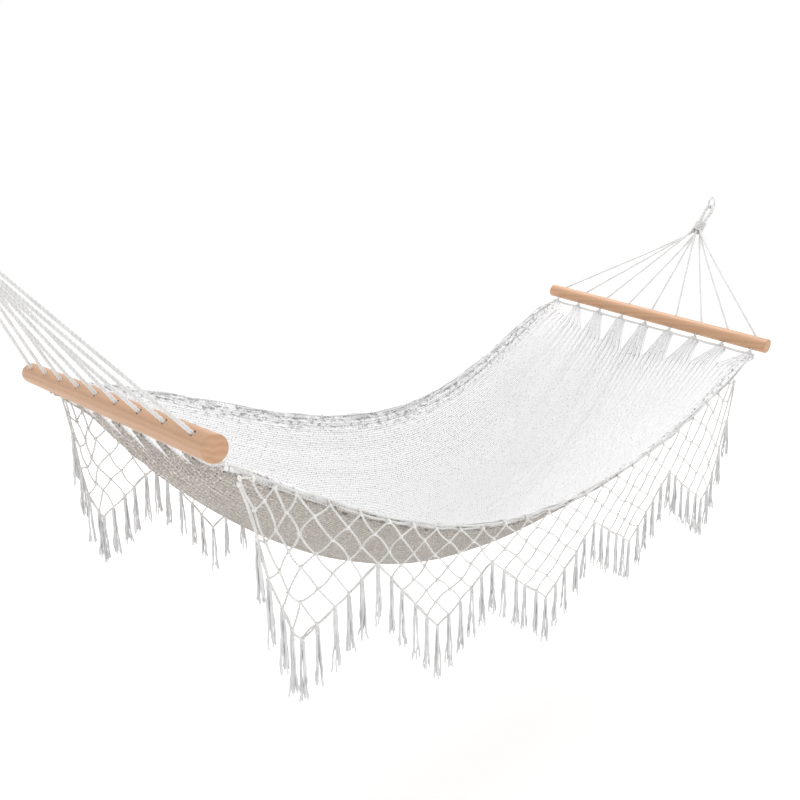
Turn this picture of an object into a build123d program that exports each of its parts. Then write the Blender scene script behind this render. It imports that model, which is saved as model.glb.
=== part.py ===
from build123d import *
import math
import os

# A rope hammock with two round spreader bars, a knitted bed and a knotted net fringe.
# All sizes are in millimetres. X runs from the head ring to the foot ring, the near side
# is at -Y and Z is up. The origin is the centre of the head ring.

# spreader bars
bar_length = 800
bar_diameter = 42
bar_end_round = 2.5
cord_count = 9
hole_diameter = 11
hole_margin = 40

# hanging geometry
ring_span = 2350
bar_run = 260
bar_drop = 365
foot_roll = 9.2

# hanging rings and rope eyes
ring_radius = 19
ring_wire = 6
eye_rope = 13
eye_bight_radius = 13.5
eye_gap = 0.4
eye_leg_bend = 8
eye_leg_top = -56
eye_leg_end = -76
eye_leg_offset = 6.75

# whipping round the bundled cords
whipping_inner = 28.8
whipping_outer = 34.8
whipping_top = -60
whipping_bottom = -96

# clew cords
cord_diameter = 7
cord_grid = 7.4
cord_start = -79
cord_bend = -98
cord_bend_radius = 12
hole_bend_radius = 6
hole_bend_height = 2
cord_tail = 9

# knots under the bar and the lacing cord through them
knot_diameter = 20
knot_drop = 33
lacing_diameter = 7
lacing_drop = 37
lacing_sag = 3
lacing_tail = 16
lacing_bend_radius = 60
cord_clearance = 0.25

# knitted bed
bed_thickness = 12
bed_drop = 24
bed_half_width = 368
bed_waist = 0.195
bed_waist_power = 1.46
near_edge_sag = 298
near_edge_power = 1.13
far_edge_sag = 210
far_edge_power = 1.77
centre_sag = 505
centre_power = 0.874
section_power = 1.6
bed_shift = -34
bed_start = 0.065
bed_sections = 15
section_points = 13

# tabs at the ends of the bed
tab_tip_width = 17
tab_tip_thickness = 9
tab_tip_drop = 47.5
tab_base_width = 79
tab_overlap = 12

# fringe nets: places of the notches and tips along the bed, and depths below its edge
net_count = 5
net_steps = 10
near_notches = [0.026, 0.170, 0.365, 0.588, 0.768, 0.932]
near_tips = [0.0785, 0.261, 0.481, 0.678, 0.861]
near_notch_depths = [24, 82, 76, 82, 92, 24]
near_tip_depths = [241, 203, 210, 205, 284]
near_notch_rows = 3
far_notches = [0.024, 0.126, 0.300, 0.530, 0.760, 0.945]
far_tips = [0.058, 0.194, 0.415, 0.645, 0.870]
far_notch_depths = [24, 175, 150, 140, 150, 24]
far_tip_depths = [301, 314, 280, 280, 300]
far_notch_rows = 5
net_outer_power = 1.8
net_thickness = 3
net_offset = 9
net_top_drop = 4
net_hole_scale = 0.88
net_side_gap = 1.2
net_rim = 3
net_least_end = 40

# tassels
tassel_diameter = 9
tassel_neck = 4
tassel_neck_length = 12
tassel_length = 112
tassel_drop = 5
tassel_offset = 6.3

span_angle = math.atan2(bar_drop, bar_run)
up_rope = Vector(-math.cos(span_angle), 0, math.sin(span_angle))
across = Vector(0, 1, 0)
rope_normal = Vector(math.sin(span_angle), 0, math.cos(span_angle))
hang_point = up_rope * -ring_radius
hang_height = hang_point.Z
hang_line = Axis((0, 0, hang_height), (1, 0, 0))
middle_plane = Plane((ring_span / 2, 0, 0), z_dir=(1, 0, 0))
bar_centre = Vector(bar_run, 0, -bar_drop)
bed_length = ring_span - 2 * bar_run
hole_pitch = (bar_length - 2 * hole_margin) / (cord_count - 1)


def rope_point(along, sideways=0.0, offset=0.0):
    """Point given along the hanging rope, sideways and square to the rope fan."""
    return hang_point + up_rope * along + across * sideways + rope_normal * offset


def bar_point(drop, sideways=0.0, lift=0.0):
    """Point below the bar's axis along the rope direction."""
    return bar_centre - up_rope * drop + across * sideways + Vector(0, 0, lift)


def hole_place(index):
    """Sideways place of one cord hole, counted from the far end."""
    return (cord_count // 2 - index) * hole_pitch


def tube_on(line, diameter):
    """Round tube swept along a line."""
    start = line @ 0
    heading = line % 0
    section = Plane(start, z_dir=heading) * Circle(diameter / 2)
    return sweep(section, path=line)


def to_foot(shape):
    """Mirror a head-end shape to the foot end and roll it about the hanging line."""
    return mirror(shape, about=middle_plane).rotate(hang_line, foot_roll)


def save(shape, name):
    """Write one node and print what is in it."""
    solids = shape.solids()
    volume = sum(solid.volume for solid in solids)
    print(f"{name}: {len(solids)} solids, {volume:.0f} mm3")
    export_step(Compound(children=list(solids)) if len(solids) > 1 else solids[0], f"parts/{name}.step")


def make_ring():
    return Plane.XZ * Torus(ring_radius, ring_wire / 2)


def make_eye():
    """Rope loop over the ring wire with both legs going down into the whipping."""
    top = eye_bight_radius - (eye_bight_radius - eye_rope / 2 - ring_wire / 2 - eye_gap)
    half = eye_bight_radius + 1.25
    points = [
        rope_point(eye_leg_end, -eye_leg_offset),
        rope_point(eye_leg_top, -eye_leg_offset),
        rope_point(top, -half),
        rope_point(top, half),
        rope_point(eye_leg_top, eye_leg_offset),
        rope_point(eye_leg_end, eye_leg_offset),
    ]
    radii = [eye_leg_bend, eye_bight_radius, eye_bight_radius, eye_leg_bend]
    line = FilletPolyline(*points, radius=radii)
    report_tube("eye", line, eye_rope, radii)
    return tube_on(line, eye_rope)


def report_tube(name, line, diameter, radii):
    length = line.length
    print(f"{name} cord: length {length:.1f}, diameter {diameter}, radii {radii}")


def make_whipping():
    place = Plane(rope_point(whipping_bottom), z_dir=up_rope)
    height = whipping_top - whipping_bottom
    outer = extrude(place * Circle(whipping_outer / 2), height)
    inner = extrude(place * Circle(whipping_inner / 2), height)
    outer = fillet(outer.edges().filter_by(GeomType.CIRCLE), 1.2)
    return outer - inner


def cord_line(index):
    """Route of one clew cord from the whipping through its hole in the bar."""
    row = (cord_count // 6 - index // 3) * cord_grid
    layer = (index % 3 - 1) * cord_grid
    side = hole_place(index)
    start = rope_point(cord_start, row, layer)
    mouth = rope_point(cord_bend, row, layer)
    entry = bar_point(-bar_diameter / 2 - hole_bend_height, side)
    end = bar_point(bar_diameter / 2 + cord_tail, side)
    if index == cord_count // 2:
        return Line(start, end), []
    radii = [cord_bend_radius, hole_bend_radius]
    return FilletPolyline(start, mouth, entry, end, radius=radii), radii


def make_cord(index):
    line, radii = cord_line(index)
    report_tube(f"clew {index + 1}", line, cord_diameter, radii)
    tube = tube_on(line, cord_diameter)
    expected = math.pi * cord_diameter ** 2 / 4 * line.length
    print(f"clew {index + 1}: volume {tube.volume:.0f}, section by length {expected:.0f}")
    return tube


def make_bar():
    place = Plane(bar_centre - across * (bar_length / 2), z_dir=(0, 1, 0))
    bar = extrude(place * Circle(bar_diameter / 2), bar_length)
    bar = fillet(bar.edges().filter_by(GeomType.CIRCLE), bar_end_round)
    for index in range(cord_count):
        hole = Plane(bar_point(-bar_diameter, hole_place(index)), z_dir=-up_rope)
        bar -= extrude(hole * Circle(hole_diameter / 2), 2 * bar_diameter)
    return bar


def lacing_line():
    """Lacing cord through the knots, sagging a little between them."""
    points = [bar_point(lacing_drop, hole_place(0) + lacing_tail)]
    for index in range(cord_count - 1):
        side = hole_place(index)
        points.append(bar_point(lacing_drop, side - 6))
        points.append(bar_point(lacing_drop, side - hole_pitch / 2, -lacing_sag))
        points.append(bar_point(lacing_drop, side - hole_pitch + 6))
    points.append(bar_point(lacing_drop, hole_place(cord_count - 1) - lacing_tail))
    radii = [lacing_bend_radius] * (len(points) - 2)
    return FilletPolyline(*points, radius=radii), radii


def make_lacing():
    line, radii = lacing_line()
    report_tube("lacing", line, lacing_diameter, radii[:1])
    return tube_on(line, lacing_diameter)


def make_knots():
    """Nine knots, each holding the end of a clew cord and the lacing cord."""
    knots = []
    line, _ = lacing_line()
    lacing = tube_on(line, lacing_diameter + 2 * cord_clearance)
    for index in range(cord_count):
        centre = bar_point(knot_drop, hole_place(index))
        knot = Pos(*centre) * Sphere(knot_diameter / 2)
        cord = Plane(bar_point(0, hole_place(index)), z_dir=-up_rope)
        reach = bar_diameter / 2 + cord_tail + cord_clearance
        knot -= extrude(cord * Circle(cord_diameter / 2 + cord_clearance), reach)
        knots.append(knot - lacing)
    return Compound(children=[knot.solids()[0] for knot in knots])


def bed_point(along, sideways):
    """Point on the middle surface of the bed, along 0 to 1 and sideways -1 to 1."""
    belly = 4 * along * (1 - along)
    mix = (1 + sideways) / 2
    near = near_edge_sag * belly ** near_edge_power
    far = far_edge_sag * belly ** far_edge_power
    edge = -(near * (1 - mix) + far * mix)
    centre = -centre_sag * belly ** centre_power
    waist = bed_waist * math.sin(math.pi * along) ** bed_waist_power
    side = bed_half_width * (1 - waist) * sideways + bed_shift * belly
    height = edge + (centre - edge) * (1 - abs(sideways) ** section_power)
    height -= bar_drop + bed_drop
    roll = math.radians(foot_roll) * along
    below = height - hang_height
    turned_side = side * math.cos(roll) - below * math.sin(roll)
    turned_height = side * math.sin(roll) + below * math.cos(roll) + hang_height
    return Vector(bar_run + bed_length * along, turned_side, turned_height)


def bed_tangent(along, sideways):
    step = 0.01
    low = bed_point(along, max(sideways - step, -1))
    high = bed_point(along, min(sideways + step, 1))
    return (high - low).normalized()


def bed_section(along):
    """Closed outline of the bed at one place along its length."""
    upper = []
    lower = []
    for number in range(section_points):
        sideways = -1 + 2 * number / (section_points - 1)
        centre = bed_point(along, sideways)
        tangent = bed_tangent(along, sideways)
        normal = Vector(0, -tangent.Z, tangent.Y)
        upper.append(centre + normal * (bed_thickness / 2))
        lower.append(centre - normal * (bed_thickness / 2))
    top = Spline(*upper)
    bottom = Spline(*lower)
    first = Line(upper[0], lower[0])
    last = Line(upper[-1], lower[-1])
    return Wire([top, last, bottom, first])


def make_tab(index, at_foot):
    """Gathered tab from the lacing cord to the end of the bed."""
    side = hole_place(index)
    tip = bar_point(tab_tip_drop, side)
    if at_foot:
        tip = Vector(ring_span - tip.X, tip.Y, tip.Z)
        below = tip.Z - hang_height
        roll = math.radians(foot_roll)
        tip_side = tip.Y * math.cos(roll) - below * math.sin(roll)
        tip_height = tip.Y * math.sin(roll) + below * math.cos(roll) + hang_height
        tip = Vector(tip.X, tip_side, tip_height)
        tip_direction = Vector(0, math.cos(roll), math.sin(roll))
    else:
        tip_direction = across
    sideways = (cord_count // 2 - index) * 2 / cord_count
    overlap = tab_overlap / bed_length
    along = 1 - bed_start - overlap if at_foot else bed_start + overlap
    base = bed_point(along, sideways)
    small = Plane(tip, x_dir=tip_direction, z_dir=(1, 0, 0)) * Rectangle(tab_tip_width, tab_tip_thickness)
    wide_plane = Plane(base, x_dir=bed_tangent(along, sideways), z_dir=(1, 0, 0))
    wide = wide_plane * Rectangle(tab_base_width, bed_thickness)
    return Solid.make_loft([small.wire(), wide.wire()], True)


def make_bed():
    sections = []
    for number in range(bed_sections):
        along = bed_start + (1 - 2 * bed_start) * number / (bed_sections - 1)
        sections.append(bed_section(along))
    bed = Solid.make_loft(sections, False)
    tabs = []
    for index in range(cord_count):
        tabs.append(make_tab(index, False))
        tabs.append(make_tab(index, True))
    return Part() + bed + tabs


def fringe_values(side):
    """Notches, tips, notch depths, tip depths and notch rows of one side's fringe."""
    if side < 0:
        return near_notches, near_tips, near_notch_depths, near_tip_depths, near_notch_rows
    return far_notches, far_tips, far_notch_depths, far_tip_depths, far_notch_rows


def net_rows(step, side):
    """Number of half rows of net at one step across a scallop."""
    return fringe_values(side)[4] + min(step, net_steps - step)


def net_along(number, step, side):
    """Place along the bed of one column of knots."""
    notches, tips, _, _, _ = fringe_values(side)
    half = net_steps // 2
    if step <= half:
        return notches[number] + (tips[number] - notches[number]) * step / half
    return tips[number] + (notches[number + 1] - tips[number]) * (step - half) / half


def net_depth(number, step, side):
    """Depth of the lower edge of a net below the bed's edge."""
    _, _, notch_depths, tip_depths, _ = fringe_values(side)
    half = net_steps // 2
    share = 1 - abs(step - half) / half
    notch = notch_depths[number] if step <= half else notch_depths[number + 1]
    if (number == 0 and step < half) or (number == net_count - 1 and step > half):
        share = 1 - (1 - share) ** net_outer_power
    return notch + (tip_depths[number] - notch) * share


def is_outer_end(number, step, side):
    """Whether this is the shallow end of the first or last scallop."""
    return step in (0, net_steps) and net_depth(number, step, side) < net_least_end


def net_node(number, step, row, side, drop=0.0):
    """Knot of a net in the net's own plane: distance along the chord and height."""
    begin = bed_point(net_along(number, 0, side), side)
    place = bed_point(net_along(number, step, side), side)
    heading = net_chord(number, side).normalized()
    distance = (place.X - begin.X) * heading.X + (place.Y - begin.Y) * heading.Y
    row_height = net_depth(number, step, side) / net_rows(step, side)
    return distance, place.Z - net_top_drop - row * row_height - drop


def net_chord(number, side):
    """Level line between the ends of one scallop on the bed's edge."""
    begin = bed_point(net_along(number, 0, side), side)
    end = bed_point(net_along(number, net_steps, side), side)
    return Vector(end.X - begin.X, end.Y - begin.Y, 0)


def net_plane(number, side, offset):
    """Upright plane along one scallop, outside the bed's edge."""
    begin = bed_point(net_along(number, 0, side), side)
    heading = net_chord(number, side).normalized()
    outward = Vector(-heading.Y, heading.X, 0) * side
    origin = Vector(begin.X, begin.Y, 0) + outward * offset
    return Plane(origin, x_dir=heading, z_dir=heading.cross(Vector(0, 0, 1)))


def shrink(points, scale):
    centre_x = sum(point[0] for point in points) / len(points)
    centre_y = sum(point[1] for point in points) / len(points)
    return [(centre_x + (x - centre_x) * scale, centre_y + (y - centre_y) * scale) for x, y in points]


def net_outline(number, side):
    upper = [net_node(number, step, 0, side, -net_rim / 2) for step in range(net_steps + 1)]
    lower = []
    for step in range(net_steps, -1, -1):
        lower.append(net_node(number, step, net_rows(step, side), side, net_rim))
    points = upper + lower
    width = net_chord(number, side).length
    return [(min(max(x, net_side_gap), width - net_side_gap), y) for x, y in points]


def net_openings(number, side):
    """Diamond openings between four knots, and triangles along the top and the ends."""
    shapes = []
    for step in range(1, net_steps):
        least = min(net_rows(step - 1, side), net_rows(step + 1, side))
        if is_outer_end(number, step - 1, side) or is_outer_end(number, step + 1, side):
            least -= 1
        for row in range(1, net_rows(step, side)):
            if (step + row) % 2 == 0 and row <= least:
                corners = [(step - 1, row), (step, row + 1), (step + 1, row), (step, row - 1)]
                shapes.append(net_shape(number, side, corners, net_hole_scale))
        if step % 2 == 0:
            corners = [(step - 1, 0), (step, 1), (step + 1, 0)]
            shapes.append(net_shape(number, side, corners, net_hole_scale - 0.1))
    for edge_step, next_step in ((0, 1), (net_steps, net_steps - 1)):
        if is_outer_end(number, edge_step, side):
            continue
        for row in range(1, net_rows(edge_step, side) - 1, 2):
            corners = [(edge_step, row), (edge_step, row + 2), (next_step, row + 1)]
            shapes.append(net_shape(number, side, corners, net_hole_scale - 0.14))
    return shapes


def net_shape(number, side, corners, scale):
    points = [net_node(number, step, row, side) for step, row in corners]
    return shrink(points, scale)


def make_net(number, side):
    plane = net_plane(number, side, net_offset)
    outline = Wire.make_polygon([Vector(x, y, 0) for x, y in net_outline(number, side)], close=True)
    openings = []
    for points in net_openings(number, side):
        openings.append(Wire.make_polygon([Vector(x, y, 0) for x, y in points], close=True))
    face = Face(outline, openings)
    net = extrude(face, net_thickness / 2, both=True)
    return plane * net


def make_tassel():
    """One tassel hanging from the origin."""
    outline = Polyline(
        (0, 0),
        (tassel_neck / 2, 0),
        (tassel_diameter / 2, -tassel_neck_length),
        (tassel_diameter / 2, -tassel_length),
        (0, -tassel_length),
        close=True,
    )
    return revolve(Plane.XZ * make_face(outline), Axis.Z)


def make_tassels(number, side, tassel):
    """Tassels of one scallop, on the outer face of its net; the two outer ends carry none."""
    plane = net_plane(number, side, net_offset + tassel_offset)
    first = 1 if number == 0 else 0
    solids = []
    for step in range(first, net_steps):
        x, height = net_node(number, step, net_rows(step, side), side, tassel_drop)
        place = plane.from_local_coords(Vector(x, height, 0))
        solids.append((Pos(*place) * tassel).solids()[0])
    return Compound(children=solids)


def build():
    os.makedirs("parts", exist_ok=True)
    ring = make_ring()
    save(ring, "head_ring")
    save(mirror(ring, about=middle_plane), "foot_ring")
    ends = {"eye": make_eye(), "whipping": make_whipping(), "bar": make_bar()}
    ends["lacing"] = make_lacing()
    ends["knots"] = make_knots()
    for index in range(cord_count):
        ends[f"cord_{index + 1}"] = make_cord(index)
    for name, shape in ends.items():
        save(shape, f"head_{name}")
        save(to_foot(shape), f"foot_{name}")
    save(make_bed(), "bed")
    tassel = make_tassel()
    for number in range(net_count):
        for name, side in (("near", -1), ("far", 1)):
            save(make_net(number, side), f"{name}_net_{number + 1}")
            save(make_tassels(number, side, tassel), f"{name}_tassels_{number + 1}")


build()
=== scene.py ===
import bpy
import bmesh
import math
import random
from mathutils import Matrix, Vector, noise


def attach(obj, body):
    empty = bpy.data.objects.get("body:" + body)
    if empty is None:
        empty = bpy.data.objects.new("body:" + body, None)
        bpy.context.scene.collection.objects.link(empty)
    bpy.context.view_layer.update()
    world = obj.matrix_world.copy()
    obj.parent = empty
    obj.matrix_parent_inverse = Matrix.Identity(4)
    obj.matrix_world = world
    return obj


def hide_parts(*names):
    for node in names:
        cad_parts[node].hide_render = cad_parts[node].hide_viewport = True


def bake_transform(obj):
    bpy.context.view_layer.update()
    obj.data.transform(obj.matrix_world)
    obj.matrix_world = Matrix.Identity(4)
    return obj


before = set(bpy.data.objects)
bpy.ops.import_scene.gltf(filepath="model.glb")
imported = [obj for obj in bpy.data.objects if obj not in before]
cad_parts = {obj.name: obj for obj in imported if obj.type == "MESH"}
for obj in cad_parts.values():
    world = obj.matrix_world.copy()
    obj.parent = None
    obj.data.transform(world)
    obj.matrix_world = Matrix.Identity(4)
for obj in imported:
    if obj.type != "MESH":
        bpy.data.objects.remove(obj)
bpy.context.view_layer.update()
print("stage: frame loaded")

# rope hammock, in metres: X runs from the head ring to the foot ring, the near side is at -Y

view = {"place": (-0.206, -1.3095, -0.0828), "yaw": 41.20, "pitch": -12.364, "roll": -0.611, "lens": 34.46}


def makeCamera():
    camera = bpy.data.objects.new("camera", bpy.data.cameras.new("camera"))
    turn = Matrix.Rotation(math.radians(-view["yaw"]), 4, "Z")
    turn = turn @ Matrix.Rotation(math.radians(90 + view["pitch"]), 4, "X")
    turn = turn @ Matrix.Rotation(math.radians(view["roll"]), 4, "Z")
    camera.matrix_world = Matrix.Translation(view["place"]) @ turn
    camera.data.lens = view["lens"]
    camera.data.clip_start = 0.01
    camera.data.clip_end = 400
    bpy.context.scene.collection.objects.link(camera)
    bpy.context.scene.camera = camera


makeCamera()

# the hanging geometry that every piece is placed from
hang = {"ringSpan": 2.350, "barRun": 0.260, "barDrop": 0.365, "ringRadius": 0.019, "roll": 9.2,
        "holePitch": 0.090, "cords": 9}

spanAngle = math.atan2(hang["barDrop"], hang["barRun"])
upRope = Vector((-math.cos(spanAngle), 0, math.sin(spanAngle)))
ropeNormal = Vector((math.sin(spanAngle), 0, math.cos(spanAngle)))
across = Vector((0, 1, 0))
hangPoint = upRope * -hang["ringRadius"]
barCentre = Vector((hang["barRun"], 0, -hang["barDrop"]))
bedLength = hang["ringSpan"] - 2 * hang["barRun"]


def ropePoint(along, side=0.0, offset=0.0):
    return hangPoint + upRope * along + across * side + ropeNormal * offset


def barPoint(drop, side=0.0, lift=0.0):
    return barCentre - upRope * drop + across * side + Vector((0, 0, lift))


def holePlace(index):
    return (hang["cords"] // 2 - index) * hang["holePitch"]


def rolled(point, share=1.0):
    # turn a point about the hanging line
    angle = math.radians(hang["roll"]) * share
    below = point.z - hangPoint.z
    return Vector((point.x, point.y * math.cos(angle) - below * math.sin(angle),
                   point.y * math.sin(angle) + below * math.cos(angle) + hangPoint.z))


def headPlace(point):
    return Vector(point)


def footPlace(point):
    return rolled(Vector((hang["ringSpan"] - point.x, point.y, point.z)))


ends = {"head": ("head_end", headPlace), "foot": ("foot_end", footPlace)}


class Wire:  # one output socket, with arithmetic that adds nodes
    def __init__(self, graph, socket):
        self.graph = graph
        self.socket = socket

    def __getitem__(self, name):
        return Wire(self.graph, self.socket.node.outputs[name])

    def math(self, operation, first, second=None, third=None):
        values = {0: first, 1: second, 2: third}
        values = {key: value for key, value in values.items() if value is not None}
        if not self.isVector(first) and not self.isVector(second):
            return self.graph.add("ShaderNodeMath", {"operation": operation}, values)
        if operation == "MULTIPLY" and not self.isVector(second):
            return self.graph.add("ShaderNodeVectorMath", {"operation": "SCALE"}, {0: first, 3: second})
        return self.graph.add("ShaderNodeVectorMath", {"operation": operation}, values)

    def isVector(self, value):
        if isinstance(value, Wire):
            return value.socket.type in ("VECTOR", "RGBA")
        return hasattr(value, "__len__")

    def __add__(self, other):
        return self.math("ADD", self, other)

    __radd__ = __add__

    def __mul__(self, other):
        return self.math("MULTIPLY", self, other)

    __rmul__ = __mul__

    def __sub__(self, other):
        return self.math("SUBTRACT", self, other)

    def __rsub__(self, other):
        return self.math("SUBTRACT", other, self)

    def __truediv__(self, other):
        return self.math("DIVIDE", self, other)

    def __pow__(self, other):
        return self.math("POWER", self, other)

    def __abs__(self):
        return self.math("ABSOLUTE", self)

    def fract(self):
        return self.math("FRACT", self)

    def sin(self):
        return self.math("SINE", self)

    def cos(self):
        return self.math("COSINE", self)

    def clamp(self):
        return self.graph.add("ShaderNodeClamp", {}, {"Value": self})


class Graph:
    def __init__(self, tree):
        self.tree = tree

    def add(self, kind, settings=None, values=None):
        node = self.tree.nodes.new(kind)
        for key, value in (settings or {}).items():
            if key == "stops":
                ramp = node.color_ramp
                while len(ramp.elements) < len(value):
                    ramp.elements.new(1)
                for element, (place, colour) in zip(ramp.elements, value):
                    element.position = place
                    element.color = (*colour, 1)
            else:
                setattr(node, key, value)
        for key, value in (values or {}).items():
            socket = node.inputs[key]
            if isinstance(value, Wire):
                self.tree.links.new(value.socket, socket)
            elif value is not None:
                socket.default_value = value
        shown = [socket for socket in node.outputs if socket.enabled]
        return Wire(self, shown[0]) if shown else None

    def mix(self, share, first, second):
        ends = [value if isinstance(value, Wire) else (*value, 1) for value in (first, second)]
        return self.add("ShaderNodeMix", {"data_type": "RGBA"}, {0: share, 6: ends[0], 7: ends[1]})

    def noise(self, vector, scale, detail=2.0, rough=0.5):
        return self.add("ShaderNodeTexNoise", {}, {"Vector": vector, "Scale": scale, "Detail": detail,
                                                   "Roughness": rough})

    def bump(self, height, strength, distance):
        return self.add("ShaderNodeBump", {}, {"Height": height, "Strength": strength, "Distance": distance})


def newMaterial(name):
    material = bpy.data.materials.new(name)
    material.use_nodes = True
    material.node_tree.nodes.clear()
    return material, Graph(material.node_tree)


def closeMaterial(material, graph, values):
    shader = graph.add("ShaderNodeBsdfPrincipled", {}, values)
    graph.add("ShaderNodeOutputMaterial", {}, {"Surface": shader})
    return material


# the dark cord colour serves both random dirt patches and painted shade in the twist grooves
cordLook = {
    "clew": {"white": (0.78, 0.78, 0.775), "shade": (0.46, 0.45, 0.44), "tick": 5200.0},
    "net": {"white": (0.84, 0.83, 0.81), "shade": (0.46, 0.445, 0.425), "tick": 7400.0},
    "tassel": {"white": (0.78, 0.78, 0.785), "shade": (0.34, 0.34, 0.34), "tick": 4600.0},
    "fibre": 900.0}


def makeCordMaterial(name, look):
    material, graph = newMaterial(name)
    place = graph.add("ShaderNodeTexCoord")["Object"]
    along = graph.add("ShaderNodeAttribute", {"attribute_name": "along"})["Fac"]
    fuzz = graph.noise(place, cordLook["fibre"], 3)
    patch = graph.noise(place, 35, 2)
    yarn = ((along * look["tick"] + fuzz * 5).sin() + 1) * 0.5
    dirt = ((patch - 0.42) * 2.2).clamp() * 0.45
    colour = graph.mix(dirt, look["white"], look["shade"])
    # painted shade: the grooves between the yarn's twists are darkened toward the dark colour
    colour = graph.mix((1 - yarn) * 0.22, colour, look["shade"])
    height = yarn * 0.6 + fuzz * 0.8
    return closeMaterial(material, graph, {
        "Base Color": colour, "Roughness": 0.92, "Specular IOR Level": 0.2, "Sheen Weight": 0.25,
        "Sheen Roughness": 0.6, "Normal": graph.bump(height, 0.55, 0.0006)})


knitLook = {
    "face": {"light": (0.91, 0.91, 0.925), "valley": (0.71, 0.71, 0.72), "hole": (0.30, 0.30, 0.305),
             "holeShare": 0.54, "depth": 0.0026, "fleck": 0.12},
    # painted shade: the back side is the face's cotton darkened for the underside, with darker light, valley
    # and hole colours and heavy flecks
    "back": {"light": (0.80, 0.74, 0.68), "valley": (0.30, 0.27, 0.24), "hole": (0.17, 0.15, 0.13),
             "holeShare": 0.58, "depth": 0.0035, "fleck": 0.75},
    "nearBorder": 4.5, "farBorder": 85.5, "slitShare": 0.54, "slitShade": 0.75}  # borders in wales


def makeKnitMaterial(name, look):
    material, graph = newMaterial(name)
    cloth = graph.add("ShaderNodeUVMap", {"uv_map": "knit"})
    place = graph.add("ShaderNodeTexCoord")["Object"]
    wander = graph.noise(cloth, 0.16, 2)
    tremble = graph.noise(cloth, 0.9, 2)
    split = graph.add("ShaderNodeSeparateXYZ", {}, {"Vector": cloth})
    course = split["X"] + wander * 2.4 + tremble * 0.5
    wale = split["Y"] + tremble * 0.35
    side = abs(wale.fract() - 0.5)
    leg = (course + side * 1.3).fract()
    rib = 1 - abs(side * 4 - 1)
    band = (leg * math.pi).sin()
    loop = rib * 0.45 + band * 0.55 * (rib * 0.6 + 0.4)
    fuzz = graph.noise(place, 420, 3)
    spot = graph.noise(cloth, 1.2, 1)
    # painted shade: the gaps between the loops get the dark hole colour
    gap = ((0.34 - loop) * 5).clamp() * ((spot - look["holeShare"]) * 9).clamp()
    # painted shade: the valleys between the loops are darkened, while the tone and fleck mixes below are
    # random tone
    low = ((0.62 - loop) * 1.6).clamp()
    tone = graph.noise(place, 6, 3)
    colour = graph.mix(low, look["light"], look["valley"])
    colour = graph.mix(((tone - 0.5) * 1.6).clamp() * 0.35, colour, look["valley"])
    colour = graph.mix(gap, colour, look["hole"])
    fleck = ((graph.noise(place, 210, 2) - 0.5) * 4 + 0.5).clamp()
    colour = graph.mix(fleck * look["fleck"], colour, look["valley"])
    # a looser border with long gaps between its yarns, painted dark as shade
    nearBorder = ((knitLook["nearBorder"] - split["Y"]) * 0.4).clamp()
    border = nearBorder + ((split["Y"] - knitLook["farBorder"]) * 0.4).clamp()
    stretched = graph.add("ShaderNodeMapping", {}, {"Vector": cloth, "Scale": (0.45, 1.3, 1)})
    slits = ((graph.noise(stretched, 1.1, 1) - knitLook["slitShare"]) * 9).clamp() * border
    colour = graph.mix(slits * knitLook["slitShade"], colour, look["hole"])
    height = loop + fuzz * 0.35 - gap * 0.8 - slits
    return closeMaterial(material, graph, {
        "Base Color": colour, "Roughness": 0.95, "Specular IOR Level": 0.15, "Sheen Weight": 0.2,
        "Sheen Roughness": 0.7, "Normal": graph.bump(height, 0.8, look["depth"])})


woodLook = {"light": (0.56, 0.335, 0.20), "dark": (0.40, 0.215, 0.115), "line": (0.25, 0.13, 0.07)}


def makeWoodMaterial(name):
    material, graph = newMaterial(name)
    place = graph.add("ShaderNodeTexCoord")["Object"]
    grainPlace = graph.add("ShaderNodeMapping", {}, {"Vector": place, "Scale": (1, 0.05, 1)})
    ringPlace = graph.add("ShaderNodeMapping", {}, {"Vector": place, "Location": (0.02, 0, 0.33),
                                                    "Scale": (1, 0.06, 1)})
    swirl = graph.noise(ringPlace, 14, 3)
    split = graph.add("ShaderNodeSeparateXYZ", {}, {"Vector": ringPlace})
    rings = ((split["Z"] * 420 + split["X"] * 160 + swirl * 26).sin() + 1) * 0.5
    fine = graph.noise(grainPlace, 900, 3, 0.6)
    pores = ((graph.noise(grainPlace, 1800, 1) - 0.62) * 8).clamp()
    broad = graph.noise(grainPlace, 60, 2)
    share = (rings * 0.35 + broad * 0.35 + fine * 0.3 - 0.18).clamp()
    colour = graph.mix(share, woodLook["light"], woodLook["dark"])
    colour = graph.mix(pores * 0.35, colour, woodLook["line"])
    rough = fine * 0.15 + 0.45
    height = fine * 0.5 - pores * 0.7 + rings * 0.15
    return closeMaterial(material, graph, {
        "Base Color": colour, "Roughness": rough, "Coat Weight": 0.08, "Coat Roughness": 0.4,
        "Normal": graph.bump(height, 0.25, 0.0004)})


def makeSteelMaterial(name):
    material, graph = newMaterial(name)
    place = graph.add("ShaderNodeTexCoord")["Object"]
    scratch = graph.noise(graph.add("ShaderNodeMapping", {}, {"Vector": place, "Scale": (1, 9, 1)}), 260, 3)
    smear = graph.noise(place, 45, 2)
    colour = graph.mix(smear * 0.5, (0.70, 0.71, 0.72), (0.52, 0.53, 0.54))
    rough = scratch * 0.14 + smear * 0.12 + 0.16
    return closeMaterial(material, graph, {
        "Base Color": colour, "Roughness": rough, "Metallic": 1.0,
        "Normal": graph.bump(scratch, 0.12, 0.0002)})


clewMaterial = makeCordMaterial("clewCotton", cordLook["clew"])
netMaterial = makeCordMaterial("netCotton", cordLook["net"])
tasselMaterial = makeCordMaterial("tasselCotton", cordLook["tassel"])
knitFace = makeKnitMaterial("knitFace", knitLook["face"])
knitBackPaintedShade = makeKnitMaterial("knitBackPaintedShade", knitLook["back"])
woodMaterial = makeWoodMaterial("barBeech")
steelMaterial = makeSteelMaterial("ringSteel")
print("stage: materials made")


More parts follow.
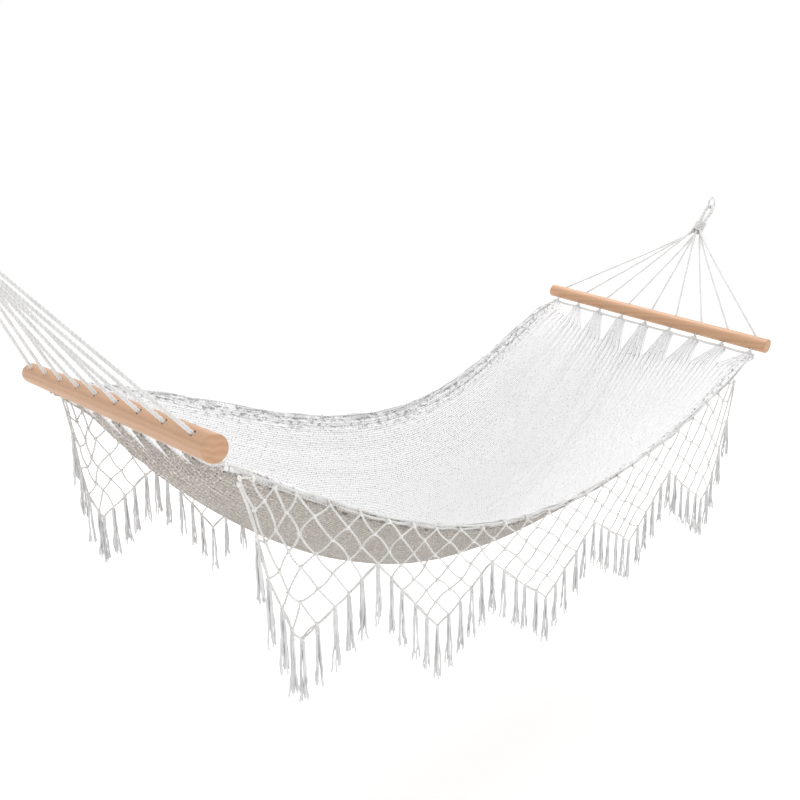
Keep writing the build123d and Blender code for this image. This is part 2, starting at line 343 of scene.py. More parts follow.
def newTree(name, inputs):
    tree = bpy.data.node_groups.new(name, "GeometryNodeTree")
    tree.interface.new_socket("Geometry", in_out="INPUT", socket_type="NodeSocketGeometry")
    for label, (kind, value) in inputs.items():
        socket = tree.interface.new_socket(label, in_out="INPUT", socket_type=kind)
        if value is not None:
            socket.default_value = value
    tree.interface.new_socket("Geometry", in_out="OUTPUT", socket_type="NodeSocketGeometry")
    graph = Graph(tree)
    source = graph.add("NodeGroupInput")
    return tree, graph, source


def closeTree(graph, geometry, material):
    real = graph.add("GeometryNodeRealizeInstances", {}, {"Geometry": geometry})
    smooth = graph.add("GeometryNodeSetShadeSmooth", {}, {"Geometry": real})
    painted = graph.add("GeometryNodeSetMaterial", {}, {"Geometry": smooth, "Material": material})
    graph.add("NodeGroupOutput", {}, {"Geometry": painted})


def sweep(graph, curve, ring):
    return graph.add("GeometryNodeCurveToMesh", {},
                     {"Curve": curve, "Profile Curve": ring, "Fill Caps": True})


def randomNumber(graph, low, high, seed):
    return graph.add("FunctionNodeRandomValue", {"data_type": "FLOAT"}, {2: low, 3: high, "Seed": seed})


def laidStrands(graph, curve, source):
    # strands laid round a route: copies of it, each moved off the centre line by a turning arm
    copies = graph.add("GeometryNodeDuplicateElements", {"domain": "SPLINE"},
                       {"Geometry": curve, "Amount": source["Strands"]})
    length = graph.add("GeometryNodeSplineParameter")["Length"]
    stored = graph.add("GeometryNodeStoreNamedAttribute", {"data_type": "FLOAT", "domain": "POINT"},
                       {"Geometry": copies, "Name": "along", "Value": length})
    turn = length / source["Pitch"] * (2 * math.pi)
    turn = turn + copies["Duplicate Index"] / source["Strands"] * (2 * math.pi)
    tangent = graph.add("GeometryNodeInputTangent")
    normal = graph.add("GeometryNodeInputNormal")
    third = graph.add("ShaderNodeVectorMath", {"operation": "CROSS_PRODUCT"}, {0: tangent, 1: normal})
    arm = normal * (turn.cos() * source["Lay"]) + third * (turn.sin() * source["Lay"])
    moved = graph.add("GeometryNodeSetPosition", {}, {"Geometry": stored, "Offset": arm})
    ring = graph.add("GeometryNodeCurvePrimitiveCircle", {}, {"Resolution": source["Sides"],
                                                             "Radius": source["Strand"]})
    return sweep(graph, moved, ring)


cordInputs = {"Strands": ("NodeSocketInt", 3), "Lay": ("NodeSocketFloat", 0.00175),
              "Strand": ("NodeSocketFloat", 0.0019), "Pitch": ("NodeSocketFloat", 0.026),
              "Step": ("NodeSocketFloat", 0.003), "Sides": ("NodeSocketInt", 6),
              "Material": ("NodeSocketMaterial", None)}


def makeCordTree():
    tree, graph, source = newTree("laidCord", cordInputs)
    even = graph.add("GeometryNodeResampleCurve", {"mode": "LENGTH"},
                     {"Curve": source["Geometry"], "Length": source["Step"]})
    closeTree(graph, laidStrands(graph, even, source), source["Material"])
    return tree


def makeWindingTree():
    inputs = dict(cordInputs)
    inputs["Turns"] = ("NodeSocketFloat", 10.0)
    inputs["Radius"] = ("NodeSocketFloat", 0.0157)
    inputs["Height"] = ("NodeSocketFloat", 0.036)
    tree, graph, source = newTree("whippingTurns", inputs)
    spiral = graph.add("GeometryNodeCurveSpiral", {}, {"Resolution": 40, "Rotations": source["Turns"],
                                                      "Start Radius": source["Radius"],
                                                      "End Radius": source["Radius"],
                                                      "Height": source["Height"]})
    even = graph.add("GeometryNodeResampleCurve", {"mode": "LENGTH"},
                     {"Curve": spiral, "Length": source["Step"]})
    closeTree(graph, laidStrands(graph, even, source), source["Material"])
    return tree


def wrap(graph, radius, thickness, turn, lift=(0, 0, 0), around=8, sides=4):
    # one closed turn of cord, for small knots
    loop = graph.add("GeometryNodeCurvePrimitiveCircle", {}, {"Resolution": around, "Radius": radius})
    ring = graph.add("GeometryNodeCurvePrimitiveCircle", {}, {"Resolution": sides, "Radius": thickness})
    tube = graph.add("GeometryNodeCurveToMesh", {}, {"Curve": loop, "Profile Curve": ring})
    return graph.add("GeometryNodeTransform", {}, {"Geometry": tube, "Rotation": turn, "Translation": lift})


def joinAll(graph, parts):
    node = graph.tree.nodes.new("GeometryNodeJoinGeometry")
    for part in parts:
        graph.tree.links.new(part.socket, node.inputs[0])
    return Wire(graph, node.outputs[0])


def makeKnotTree():
    # a small knot of two crossing turns at every point
    tree, graph, source = newTree("netKnots", {
        "Size": ("NodeSocketFloat", 0.0028), "Thickness": ("NodeSocketFloat", 0.0015),
        "Seed": ("NodeSocketInt", 3), "Material": ("NodeSocketMaterial", None)})
    first = wrap(graph, source["Size"], source["Thickness"], (0.5, 0.2, 0))
    second = wrap(graph, source["Size"], source["Thickness"], (1.7, 0.9, 0.4))
    knot = joinAll(graph, [first, second])
    turn = graph.add("FunctionNodeRandomValue", {"data_type": "FLOAT_VECTOR"},
                     {0: (0, 0, 0), 1: (6.28, 6.28, 6.28), "Seed": source["Seed"]})
    size = randomNumber(graph, 0.85, 1.2, source["Seed"])
    placed = graph.add("GeometryNodeInstanceOnPoints", {}, {"Points": source["Geometry"], "Instance": knot,
                                                           "Rotation": turn, "Scale": size})
    closeTree(graph, placed, source["Material"])
    return tree


def makeTasselTree():
    # loose strands under every point, held by a knot and two turns round their neck
    tree, graph, source = newTree("tasselStrands", {
        "Strands": ("NodeSocketInt", 8), "Length": ("NodeSocketFloat", 0.106),
        "Thickness": ("NodeSocketFloat", 0.0014), "Neck": ("NodeSocketFloat", 0.0024),
        "Splay": ("NodeSocketFloat", 0.009), "Wave": ("NodeSocketFloat", 0.006),
        "Seed": ("NodeSocketInt", 5), "Material": ("NodeSocketMaterial", None)})
    copies = graph.add("GeometryNodeDuplicateElements", {"domain": "POINT"},
                       {"Geometry": source["Geometry"], "Amount": source["Strands"]})
    low = graph.add("ShaderNodeCombineXYZ", {}, {"Z": 0 - source["Length"]})
    line = graph.add("GeometryNodeCurvePrimitiveLine", {}, {"Start": (0, 0, 0), "End": low})
    line = graph.add("GeometryNodeResampleCurve", {"mode": "COUNT"}, {"Curve": line, "Count": 15})
    chance = randomNumber(graph, 0.0, 1.0, source["Seed"])
    stretch = graph.add("ShaderNodeCombineXYZ", {}, {"X": 1, "Y": 1, "Z": chance * 0.16 + 0.86})
    placed = graph.add("GeometryNodeInstanceOnPoints", {},
                       {"Points": copies, "Instance": line, "Scale": stretch})
    phase = copies["Duplicate Index"] / source["Strands"] * (2 * math.pi) + chance * 1.6
    phased = graph.add("GeometryNodeStoreNamedAttribute", {"data_type": "FLOAT", "domain": "INSTANCE"},
                       {"Geometry": placed, "Name": "phase", "Value": phase})
    chanced = graph.add("GeometryNodeStoreNamedAttribute", {"data_type": "FLOAT", "domain": "INSTANCE"},
                        {"Geometry": phased, "Name": "chance", "Value": chance})
    real = graph.add("GeometryNodeRealizeInstances", {}, {"Geometry": chanced})
    factor = graph.add("GeometryNodeSplineParameter")["Factor"]
    length = graph.add("GeometryNodeSplineParameter")["Length"]
    real = graph.add("GeometryNodeStoreNamedAttribute", {"data_type": "FLOAT", "domain": "POINT"},
                     {"Geometry": real, "Name": "along", "Value": length})
    phase = graph.add("GeometryNodeInputNamedAttribute", {"data_type": "FLOAT"}, {"Name": "phase"})
    luck = graph.add("GeometryNodeInputNamedAttribute", {"data_type": "FLOAT"}, {"Name": "chance"})
    spread = source["Neck"] + source["Splay"] * (factor ** 1.3) * (luck * 0.9 + 0.3)
    outward = graph.add("ShaderNodeCombineXYZ", {}, {"X": phase.cos() * spread, "Y": phase.sin() * spread})
    here = graph.add("GeometryNodeInputPosition")
    shifted = here + graph.add("ShaderNodeCombineXYZ", {}, {"X": phase * 7, "Y": luck * 9, "Z": phase * 3})
    wiggle = graph.add("ShaderNodeTexNoise", {}, {"Vector": shifted, "Scale": 26.0, "Detail": 2.0})["Color"]
    wiggle = (wiggle - (0.5, 0.5, 0.5)) * ((factor * 1.6 + 0.1) * source["Wave"] * 2.4)
    moved = graph.add("GeometryNodeSetPosition", {}, {"Geometry": real, "Offset": outward + wiggle})
    ring = graph.add("GeometryNodeCurvePrimitiveCircle", {}, {"Resolution": 5, "Radius": source["Thickness"]})
    strands = sweep(graph, moved, ring)
    neck = [wrap(graph, source["Neck"] * 1.35, 0.0013, (0.12, 0.1, 0), (0, 0, -0.0075)),
            wrap(graph, source["Neck"] * 1.4, 0.0013, (-0.1, 0.08, 0), (0, 0, -0.0105)),
            wrap(graph, 0.0028, 0.0016, (1.2, 0.3, 0.2), (0, 0, 0)),
            wrap(graph, 0.0026, 0.0016, (0.3, 1.3, 0.2), (0, 0, 0.001))]
    collar = graph.add("GeometryNodeInstanceOnPoints", {}, {"Points": source["Geometry"],
                                                           "Instance": joinAll(graph, neck)})
    closeTree(graph, joinAll(graph, [strands, collar]), source["Material"])
    return tree


cordTree = makeCordTree()
windingTree = makeWindingTree()
knotTree = makeKnotTree()
tasselTree = makeTasselTree()


def setInputs(modifier, tree, values):
    for item in tree.interface.items_tree:
        if item.in_out == "INPUT" and item.name in values:
            modifier[item.identifier] = values[item.name]


def shapedMesh(data, tree, values):
    # run a tree on a curve or mesh and return the plain mesh it gives
    host = bpy.data.objects.new("host", data)
    bpy.context.scene.collection.objects.link(host)
    modifier = host.modifiers.new("shape", "NODES")
    modifier.node_group = tree
    setInputs(modifier, tree, values)
    depsgraph = bpy.context.evaluated_depsgraph_get()
    mesh = bpy.data.meshes.new_from_object(host.evaluated_get(depsgraph), preserve_all_data_layers=True,
                                           depsgraph=depsgraph)
    host.modifiers.remove(modifier)
    bpy.data.objects.remove(host)
    return mesh


def routeCurve(routes):
    # one NURBS spline for each route
    curve = bpy.data.curves.new("route", "CURVE")
    curve.dimensions = "3D"
    curve.resolution_u = 16
    for route in routes:
        spline = curve.splines.new("NURBS")
        spline.points.add(len(route) - 1)
        for point, place in zip(spline.points, route):
            point.co = (*place, 1)
        spline.order_u = 3
        spline.use_endpoint_u = True
    return curve


def pointMesh(points):
    mesh = bpy.data.meshes.new("points")
    mesh.from_pydata([tuple(point) for point in points], [], [])
    return mesh


def newPiece(name, meshes):
    joined = bmesh.new()
    materials = []
    for mesh in meshes:
        for material in mesh.materials:
            if material and material not in materials:
                materials.append(material)
        joined.from_mesh(mesh)
    result = bpy.data.meshes.new(name)
    joined.to_mesh(result)
    joined.free()
    for material in materials:
        result.materials.append(material)
    piece = bpy.data.objects.new(name, result)
    bpy.context.scene.collection.objects.link(piece)
    return piece


def cordValues(look, material):
    size = look["diameter"]
    return {"Strands": look["strands"], "Lay": size * look.get("lay", 0.25),
            "Strand": size * look.get("strand", 0.27), "Pitch": size * look["pitch"], "Step": look["step"],
            "Sides": look["sides"], "Material": material}


def makeRopePiece(end, name, node, routes, look):
    # laid cord along its routes, standing for one CAD node of that end
    body, place = ends[end]
    placed = [[place(point) for point in route] for route in routes]
    mesh = shapedMesh(routeCurve(placed), cordTree, cordValues(look, clewMaterial))
    piece = newPiece(f"{end}_{name}", [mesh])
    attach(piece, body)
    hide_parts(f"{end}_{node}")


clew = {"diameter": 0.007, "strands": 3, "pitch": 3.6, "step": 0.003, "sides": 6, "grid": 0.0074,
        "start": -0.079, "bend": -0.098, "approach": 0.020, "entry": -0.018, "tail": 0.030}


def clewRoute(index):
    row = (hang["cords"] // 6 - index // 3) * clew["grid"]
    layer = (index % 3 - 1) * clew["grid"]
    side = holePlace(index)
    start = ropePoint(clew["start"], row, layer)
    mouth = ropePoint(clew["bend"], row, layer)
    entry = barPoint(clew["entry"], side)
    near = entry + (mouth - entry).normalized() * clew["approach"]
    return [start, mouth, near, entry, barPoint(clew["tail"], side)]


def makeClewCords(end):
    for index in range(hang["cords"]):
        makeRopePiece(end, f"clew_{index + 1}", f"cord_{index + 1}", [clewRoute(index)], clew)


eye = {"diameter": 0.013, "lay": 0.225, "strand": 0.245, "strands": 3, "pitch": 3.2, "step": 0.003,
       "sides": 8, "legEnd": -0.078,
       "legTop": -0.056, "legSide": 0.00675, "top": 0.0099, "half": 0.01475}


def makeEye(end):
    half = [(eye["legEnd"], eye["legSide"]), (eye["legTop"], eye["legSide"]), (eye["top"], eye["half"])]
    route = [ropePoint(along, -side) for along, side in half]
    route += [ropePoint(along, side) for along, side in reversed(half)]
    makeRopePiece(end, "rope_eye", "eye", [route], eye)


whipping = {"diameter": 0.0036, "strands": 2, "pitch": 3.0, "step": 0.0022, "sides": 5, "turns": 10.5,
            "radius": 0.0158, "top": -0.060, "height": 0.0345}


def makeWhipping(end):
    body, place = ends[end]
    values = cordValues(whipping, clewMaterial)
    values.update({"Turns": whipping["turns"], "Radius": whipping["radius"], "Height": whipping["height"]})
    mesh = shapedMesh(bpy.data.meshes.new("empty"), windingTree, values)
    low = place(ropePoint(whipping["top"] - whipping["height"]))
    high = place(ropePoint(whipping["top"]))
    mesh.transform(Matrix.Translation(low) @ (high - low).to_track_quat("Z", "Y").to_matrix().to_4x4())
    piece = newPiece(f"{end}_whipping_turns", [mesh])
    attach(piece, body)
    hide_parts(f"{end}_whipping")


lacing = {"diameter": 0.0078, "strands": 3, "pitch": 3.4, "step": 0.003, "sides": 6, "drop": 0.037,
          "sag": 0.003, "tail": 0.016, "reach": 0.006}


def makeLacing(end):
    pitch = hang["holePitch"]
    route = [barPoint(lacing["drop"], holePlace(0) + lacing["tail"])]
    for index in range(hang["cords"] - 1):
        side = holePlace(index)
        route.append(barPoint(lacing["drop"], side - lacing["reach"]))
        route.append(barPoint(lacing["drop"], side - pitch / 2, -lacing["sag"]))
        route.append(barPoint(lacing["drop"], side - pitch + lacing["reach"]))
    route.append(barPoint(lacing["drop"], holePlace(hang["cords"] - 1) - lacing["tail"]))
    makeRopePiece(end, "lacing_cord", "lacing", [route], lacing)


stopper = {"diameter": 0.0068, "strands": 3, "pitch": 3.4, "step": 0.0026, "sides": 5, "drop": 0.033,
           "reach": 0.0072, "core": 0.0034, "rise": 0.0042}


def stopperRoute(centre, turn):
    # three lobes that cross over and under each other, closed on itself
    route = []
    for lobe in range(3):
        angle = turn + lobe * 2 * math.pi / 3 * 2
        outer = Vector((math.cos(angle), math.sin(angle), 0)) * stopper["reach"]
        over = Vector((math.cos(angle + 1.4), math.sin(angle + 1.4), 0)) * stopper["core"]
        under = Vector((math.cos(angle + 2.8), math.sin(angle + 2.8), 0)) * stopper["core"]
        route.append(outer)
        route.append(over + Vector((0, 0, stopper["rise"])))
        route.append(under - Vector((0, 0, stopper["rise"])))
    route.append(route[0])
    return [centre + point for point in route]


def makeStoppers(end):
    body, place = ends[end]
    routes = []
    for index in range(hang["cords"]):
        centre = place(barPoint(stopper["drop"], holePlace(index)))
        routes.append(stopperRoute(centre, index * 1.3))
    mesh = shapedMesh(routeCurve(routes), cordTree, cordValues(stopper, clewMaterial))
    piece = newPiece(f"{end}_stopper_knots", [mesh])
    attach(piece, body)
    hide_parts(f"{end}_knots")


for end in ends:
    makeClewCords(end)
    makeEye(end)
    makeWhipping(end)
    makeLacing(end)
    makeStoppers(end)
print("stage: cords made")


# the bars and rings keep their CAD shape
def paint(node, material):
    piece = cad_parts[node]
    for place in piece.material_slots:
        place.material = material
    if not piece.material_slots:
        piece.data.materials.append(material)


for end in ends:
    paint(f"{end}_bar", woodMaterial)
    paint(f"{end}_ring", steelMaterial)


# the knitted bed has nine gathered tabs at each end
bed = {"halfWidth": 0.368, "waist": 0.195, "waistPower": 1.46, "nearSag": 0.298, "nearPower": 1.13,
       "farSag": 0.210, "farPower": 1.77, "centreSag": 0.505, "centrePower": 0.874, "sectionPower": 1.6,
       "shift": -0.034, "start": 0.042, "below": 0.024, "rows": 216, "tabRows": 22, "tabColumns": 20,
       "tipDrop": 0.041, "tipHalf": 0.0165, "baseHalf": 0.0395, "thickness": 0.0075, "wale": 0.0006,
       "pleats": 5, "pleatDepth": 0.0034, "pleatReach": 0.06, "course": 0.0085, "foldDepth": 0.0016,
       "borderWidth": 0.5, "borderRidges": 7, "borderDepth": 0.0028,
       "crown": 0.0022, "crownReach": 0.2, "tipArch": 0.006, "narrowing": 1.25, "tabCourse": 0.0045}


def bedPoint(along, side):
    belly = max(4 * along * (1 - along), 0.0)
    mix = (1 + side) / 2
    near = bed["nearSag"] * belly ** bed["nearPower"]
    far = bed["farSag"] * belly ** bed["farPower"]
    edge = -(near * (1 - mix) + far * mix)
    centre = -bed["centreSag"] * belly ** bed["centrePower"]
    waist = bed["waist"] * math.sin(math.pi * along) ** bed["waistPower"]
    sideways = bed["halfWidth"] * (1 - waist) * side + bed["shift"] * belly
    height = edge + (centre - edge) * (1 - abs(side) ** bed["sectionPower"])
    height -= hang["barDrop"] + bed["below"]
    return rolled(Vector((hang["barRun"] + bedLength * along, sideways, height)), along)


def bedNormal(along, side):
    step = 0.004
    lengthwise = bedPoint(along + step, side) - bedPoint(along - step, side)
    low, high = max(side - step, -1), min(side + step, 1)
    crosswise = bedPoint(along, high) - bedPoint(along, low)
    return lengthwise.cross(crosswise).normalized()


def wander(share, along, layer):
    return noise.noise(Vector((share, along, layer)))


def ridge(column, along, reach):
    # pleats near the tabs, long soft folds, lumps in the border and the wales, as a height off the surface
    share = column / bed["tabColumns"]
    fade = math.exp(-reach / bed["pleatReach"])
    pleat = math.cos(2 * math.pi * bed["pleats"] * share) * bed["pleatDepth"] * fade
    pleat += math.cos(2 * math.pi * share) * bed["crown"] * math.exp(-reach / bed["crownReach"])
    fold = wander(share * 1.7, along * 2.2, 4.0) + 0.6 * wander(share * 4.3, along * 3, 9.0)
    wale = bed["wale"] * (1 if column % 2 else -1)
    border = max(0.0, 1 - min(share, hang["cords"] - share) / bed["borderWidth"])
    rough = wander(share * 30, along * 46, 2.0) + 0.7 * wander(share * 60, along * 130, 7.0)
    ribs = math.cos(2 * math.pi * share * bed["borderRidges"]) * 0.8
    lumps = (ribs + rough) * bed["borderDepth"] * min(border * 2, 1)
    return pleat + fold * bed["foldDepth"] * 1.4 + wale + lumps


def panelRows():
    total = hang["cords"] * bed["tabColumns"]
    rows = []
    for number in range(bed["rows"] + 1):
        share = number / bed["rows"]
        along = bed["start"] + (1 - 2 * bed["start"]) * share
        reach = min(share, 1 - share) * (1 - 2 * bed["start"]) * bedLength
        row = []
        for column in range(total + 1):
            side = -1 + 2 * column / total
            off = bedNormal(along, side) * ridge(column, along, reach)
            row.append(bedPoint(along, side) + off)
        rows.append(row)
    return rows


def tabPoint(end, index, columnShare, rise, column):
    # rise runs from 0 at the bed to 1 at the knot under the bar
    along = bed["start"] if end == "head" else 1 - bed["start"]
    place = ends[end][1]
    # tab 0 is at the far side
    middle = (hang["cords"] // 2 - index) * 2 / hang["cords"]
    base = bedPoint(along, middle + (columnShare * 2 - 1) / hang["cords"])
    tipCentre = place(barPoint(bed["tipDrop"], holePlace(index)))
    tipAcross = (place(barPoint(bed["tipDrop"], holePlace(index) + 0.01)) - tipCentre).normalized()
    tip = tipCentre + tipAcross * (columnShare * 2 - 1) * bed["tipHalf"]
    narrow = 1 - (1 - rise) ** bed["narrowing"]
    centreBase = bedPoint(along, middle)
    point = centreBase.lerp(tipCentre, rise) + (base - centreBase) * (1 - narrow) + (tip - tipCentre) * narrow
    upward = Vector((0, 0, 1))
    lengthwise = (tipCentre - centreBase).normalized()
    normal = (upward - lengthwise * upward.dot(lengthwise)).normalized()
    crown = math.cos(2 * math.pi * columnShare) * bed["crown"] * (1 - rise)
    pleat = math.cos(2 * math.pi * bed["pleats"] * columnShare) * bed["pleatDepth"] * (1 - 0.25 * rise)
    arch = -(columnShare * 2 - 1) ** 2 * bed["tipArch"] * rise
    wale = bed["wale"] * (1 if column % 2 else -1)
    return point + normal * (crown + pleat + arch + wale)


def makeBedMesh():
    columns = hang["cords"] * bed["tabColumns"]
    vertices, faces, places = [], [], []
    rows = panelRows()
    grid = []
    lengthDone = 0.0
    for number, row in enumerate(rows):
        if number:
            lengthDone += (row[columns // 2] - rows[number - 1][columns // 2]).length
        line = []
        for column, point in enumerate(row):
            line.append(len(vertices))
            vertices.append(point)
            places.append((lengthDone / bed["course"], column / 2))
        grid.append(line)
    for number in range(len(grid) - 1):
        for column in range(columns):
            faces.append((grid[number][column], grid[number + 1][column], grid[number + 1][column + 1],
                          grid[number][column + 1]))
    for end in ends:
        first = grid[0] if end == "head" else grid[-1]
        for index in range(hang["cords"]):
            # columns count from the near side, tabs from the far side
            begin = (hang["cords"] - 1 - index) * bed["tabColumns"]
            below = first[begin:begin + bed["tabColumns"] + 1]
            for rowNumber in range(1, bed["tabRows"] + 1):
                rise = rowNumber / bed["tabRows"]
                line = []
                for offset in range(bed["tabColumns"] + 1):
                    line.append(len(vertices))
                    vertices.append(tabPoint(end, index, offset / bed["tabColumns"], rise, begin + offset))
                    step = rowNumber * bed["tabCourse"] / bed["course"]
                    start = places[first[begin + offset]]
                    places.append((start[0] - step if end == "head" else start[0] + step, start[1]))
                for offset in range(bed["tabColumns"]):
                    face = (below[offset], below[offset + 1], line[offset + 1], line[offset])
                    faces.append(face if end == "head" else face[::-1])
                below = line
    mesh = bpy.data.meshes.new("knitSheet")
    mesh.from_pydata([tuple(point) for point in vertices], [], faces)
    layer = mesh.uv_layers.new(name="knit")
    for loop in mesh.loops:
        layer.data[loop.index].uv = places[loop.vertex_index]
    for polygon in mesh.polygons:
        polygon.use_smooth = True
    mesh.materials.append(knitFace)
    mesh.materials.append(knitBackPaintedShade)
    return mesh


def thickened(mesh, thickness):
    host = bpy.data.objects.new("host", mesh)
    bpy.context.scene.collection.objects.link(host)
    solid = host.modifiers.new("thickness", "SOLIDIFY")
    solid.thickness = thickness
    solid.offset = 0
    # the back shell gets the second material, the knit with painted underside shade
    solid.material_offset = 1
    solid.use_even_offset = False
    depsgraph = bpy.context.evaluated_depsgraph_get()
    result = bpy.data.meshes.new_from_object(host.evaluated_get(depsgraph), preserve_all_data_layers=True,
                                             depsgraph=depsgraph)
    host.modifiers.remove(solid)
    bpy.data.objects.remove(host)
    return result


def blendAlong(piece):
    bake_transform(piece)


bedMesh = thickened(makeBedMesh(), bed["thickness"])
bedPiece = newPiece("knitted_bed", [bedMesh])
blendAlong(bedPiece)
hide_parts("bed")
print("stage: bed made", len(bedPiece.data.polygons))


net = {"count": 5, "steps": 10, "outerPower": 1.8, "topDrop": 0.004, "offset": 0.008, "diameter": 0.0042,
       "strands": 2, "turn": 3.0, "step": 0.003, "sides": 4, "jitter": 0.0036, "slack": 0.0062, "seed": 11}
# places along the bed and depths below its edge
nearFringe = {"notches": (0.026, 0.170, 0.365, 0.588, 0.768, 0.932),
              "tips": (0.0785, 0.261, 0.481, 0.678, 0.861),
              "notchDepths": (0.014, 0.082, 0.076, 0.082, 0.092, 0.014),
              "tipDepths": (0.241, 0.203, 0.210, 0.205, 0.284), "notchRows": 3}
farFringe = {"notches": (0.024, 0.126, 0.300, 0.530, 0.760, 0.945),
             "tips": (0.058, 0.194, 0.415, 0.645, 0.870),
             "notchDepths": (0.014, 0.175, 0.150, 0.140, 0.150, 0.014),
             "tipDepths": (0.301, 0.314, 0.280, 0.280, 0.300), "notchRows": 5}
edgeRoll = {"strands": 5, "diameter": 0.0052, "spread": 0.0036, "pitch": 2.6, "step": 0.0042, "sides": 5,
            "points": 46, "wander": 0.0042, "uneven": 0.3, "seed": 5}
sides = {"near": -1, "far": 1}


def fringeOf(side):
    return nearFringe if side < 0 else farFringe


def netRows(step, side):
    return fringeOf(side)["notchRows"] + min(step, net["steps"] - step)


def netAlong(number, step, side):
    notches, tip = fringeOf(side)["notches"], fringeOf(side)["tips"][number]
    half = net["steps"] // 2
    if step <= half:
        return notches[number] + (tip - notches[number]) * step / half
    return tip + (notches[number + 1] - tip) * (step - half) / half


def netDepth(number, step, side):
    values = fringeOf(side)
    half = net["steps"] // 2
    share = 1 - abs(step - half) / half
    notch = values["notchDepths"][number if step <= half else number + 1]
    if (number == 0 and step < half) or (number == net["count"] - 1 and step > half):
        share = 1 - (1 - share) ** net["outerPower"]  # the two outer ends fall steeply
    return notch + (values["tipDepths"][number] - notch) * share


def outwardAt(along, side):
    step = 0.004
    heading = bedPoint(along + step, side) - bedPoint(along - step, side)
    heading.z = 0
    heading.normalize()
    return Vector((-heading.y, heading.x, 0)) * side


def netKnot(number, step, row, side):
    # the same knot for both nets that meet at a notch
    along = netAlong(number, step, side)
    place = bedPoint(along, side) + outwardAt(along, side) * net["offset"]
    place.z -= net["topDrop"] + row * netDepth(number, step, side) / netRows(step, side)
    chance = random.Random(net["seed"] + (number * net["steps"] + step) * 131 + row * 7 + (side + 1) * 5003)
    loose = net["jitter"] if row else 0.001
    heading = bedPoint(along + 0.004, side) - bedPoint(along - 0.004, side)
    place += heading.normalized() * chance.uniform(-loose, loose)
    place += outwardAt(along, side) * chance.uniform(-loose, loose) * 0.6
    place.z += chance.uniform(-loose, loose)
    return place


def slackStrand(first, second, chance, share=1.0):
    middle = first.lerp(second, chance.uniform(0.4, 0.6))
    heading = (second - first).normalized()
    sideways = heading.cross(Vector((0, 0, 1))).normalized()
    inPlane = sideways.cross(heading)
    middle += inPlane * chance.uniform(-1.0, 1.0) * net["slack"] * share
    middle += sideways * chance.uniform(-0.5, 0.5) * net["slack"] * share
    return [first, middle, second]


def netLines(number, side):
    chance = random.Random(net["seed"] + number * 17 + side * 401)
    routes, knots = [], []
    last = number == net["count"] - 1
    for step in range(net["steps"] + 1):
        for row in range(netRows(step, side) + 1):
            if (step + row) % 2 == 0:
                continue
            knot = netKnot(number, step, row, side)
            if step < net["steps"] or last:
                knots.append(knot)
            for other in (step - 1, step + 1):
                if 0 <= other <= net["steps"] and row + 1 <= netRows(other, side):
                    target = netKnot(number, other, row + 1, side)
                    routes.append(slackStrand(knot, target, chance))
                    if row == netRows(step, side):
                        routes.append(slackStrand(knot, target, chance, 0.6))
            if row == 0:
                along = netAlong(number, step, side)
                lift = bedPoint(along, side)
                routes.append([knot, lift + outwardAt(along, side) * 0.007 + Vector((0, 0, 0.001)),
                               lift + Vector((0, 0, 0.0065))])
                routes.append([knot, lift + outwardAt(along, side) * -0.002 - Vector((0, 0, 0.008)),
                               lift - outwardAt(along, side) * 0.006 + Vector((0, 0, 0.004))])
    return routes, knots


def netValues():
    return {"Strands": net["strands"], "Lay": net["diameter"] * 0.24, "Strand": net["diameter"] * 0.30,
            "Pitch": net["diameter"] * net["turn"], "Step": net["step"], "Sides": net["sides"],
            "Material": netMaterial}


tassel = {"strands": 7, "length": 0.108, "thickness": 0.0017, "neck": 0.0023, "splay": 0.0052, "wave": 0.0040,
          "drop": 0.005}


def makeFringe(name, side, number):
    routes, knots = netLines(number, side)
    cords = shapedMesh(routeCurve(routes), cordTree, netValues())
    tied = shapedMesh(pointMesh(knots), knotTree, {"Seed": number + 3, "Material": netMaterial})
    piece = newPiece(f"{name}_net_cords_{number + 1}", [cords, tied])
    blendAlong(piece)
    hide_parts(f"{name}_net_{number + 1}")
    anchors = []
    for step in range(1 if number == 0 else 0, net["steps"]):  # the two outer ends carry none
        anchor = netKnot(number, step, netRows(step, side), side)
        anchor.z -= tassel["drop"]
        anchors.append(anchor)
    values = {"Strands": tassel["strands"], "Length": tassel["length"], "Thickness": tassel["thickness"],
              "Neck": tassel["neck"], "Splay": tassel["splay"], "Wave": tassel["wave"],
              "Seed": number * 2 + (side + 1) + 7, "Material": tasselMaterial}
    strands = shapedMesh(pointMesh(anchors), tasselTree, values)
    hung = newPiece(f"{name}_tassel_strands_{number + 1}", [strands])
    blendAlong(hung)
    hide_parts(f"{name}_tassels_{number + 1}")
    return [piece, hung]


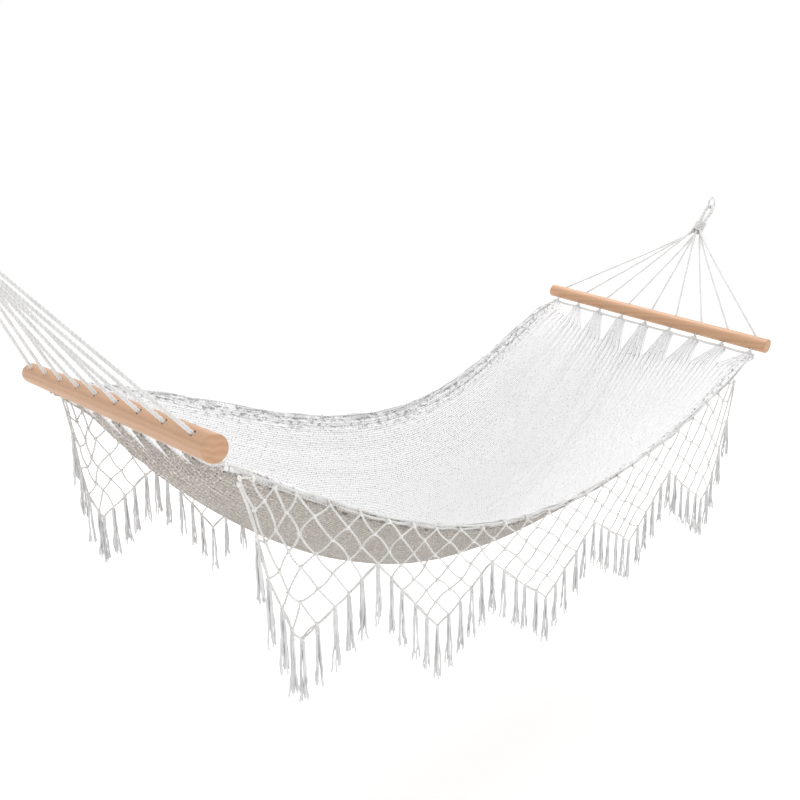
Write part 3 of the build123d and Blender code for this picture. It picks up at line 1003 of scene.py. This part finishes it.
def makeEdgeRoll(name, side):
    # loose edge yarns that run with the bed's border and wander over each other
    chance = random.Random(edgeRoll["seed"] + side)
    tip = side * (holePlace(0) + 0.006)
    routes = []
    for strand in range(edgeRoll["strands"]):
        angle = 2 * math.pi * strand / edgeRoll["strands"]
        home = Vector((0, math.cos(angle), math.sin(angle))) * edgeRoll["spread"]
        route = [ends["head"][1](barPoint(bed["tipDrop"], tip)) + home * 0.5]
        for number in range(edgeRoll["points"]):
            shift = chance.uniform(-edgeRoll["uneven"], edgeRoll["uneven"])
            inside = 0 < number < edgeRoll["points"] - 1
            share = (number + (shift if inside else 0)) / (edgeRoll["points"] - 1)
            loose = edgeRoll["wander"]
            drift = Vector((0, chance.uniform(-loose, loose), chance.uniform(-loose, loose) * 0.7))
            route.append(bedPoint(bed["start"] + (1 - 2 * bed["start"]) * share, side) + home + drift)
        route.append(ends["foot"][1](barPoint(bed["tipDrop"], tip)) + home * 0.5)
        routes.append(route)
    values = cordValues(edgeRoll, clewMaterial)
    values["Strands"] = 2
    piece = newPiece(f"{name}_edge_roll", [shapedMesh(routeCurve(routes), cordTree, values)])
    blendAlong(piece)
    return piece


fringe = []
for name, side in sides.items():
    fringe.append(makeEdgeRoll(name, side))
    for number in range(net["count"]):
        fringe += makeFringe(name, side, number)
print("stage: fringe made", sum(len(piece.data.polygons) for piece in fringe))


studio = {"floor": -1.42, "floorSize": 60, "world": 1.0, "key": 100, "fill": 6, "glow": 0.20}


def makeFloor():
    mesh = bpy.data.meshes.new("floor")
    half = studio["floorSize"]
    mesh.from_pydata([(-half, -half, studio["floor"]), (half, -half, studio["floor"]),
                      (half, half, studio["floor"]), (-half, half, studio["floor"])], [], [(0, 1, 2, 3)])
    material, graph = newMaterial("floorPale")
    place = graph.add("ShaderNodeTexCoord")["Object"]
    tone = graph.noise(place, 3, 2)
    mesh.materials.append(closeMaterial(material, graph, {
        "Base Color": graph.mix(tone * 0.3, (0.93, 0.93, 0.93), (0.90, 0.90, 0.90)), "Roughness": 0.95,
        "Emission Color": (1, 1, 1, 1), "Emission Strength": studio["glow"]}))
    floor = bpy.data.objects.new("floor", mesh)
    bpy.context.scene.collection.objects.link(floor)


def makeLight(name, place, target, size, power, colour=(1, 1, 1)):
    light = bpy.data.lights.new(name, "AREA")
    light.shape = "DISK"
    light.size = size
    light.energy = power
    light.color = colour
    lamp = bpy.data.objects.new(name, light)
    aim = (Vector(target) - Vector(place)).to_track_quat("-Z", "Y").to_matrix().to_4x4()
    lamp.matrix_world = Matrix.Translation(place) @ aim
    bpy.context.scene.collection.objects.link(lamp)


makeFloor()
bpy.context.scene.view_settings.view_transform = "Standard"
world = bpy.data.worlds.new("studio")
world.use_nodes = True
world.node_tree.nodes["Background"].inputs["Color"].default_value = (1, 1, 1, 1)
world.node_tree.nodes["Background"].inputs["Strength"].default_value = studio["world"]
bpy.context.scene.world = world
makeLight("key", (2.9, 1.0, 3.0), (0.9, 0, -0.7), 2.2, studio["key"], (1, 0.98, 0.95))
makeLight("fill", (-2.2, -2.6, 0.8), (1.0, 0, -0.6), 2.5, studio["fill"])
print("stage: studio made")
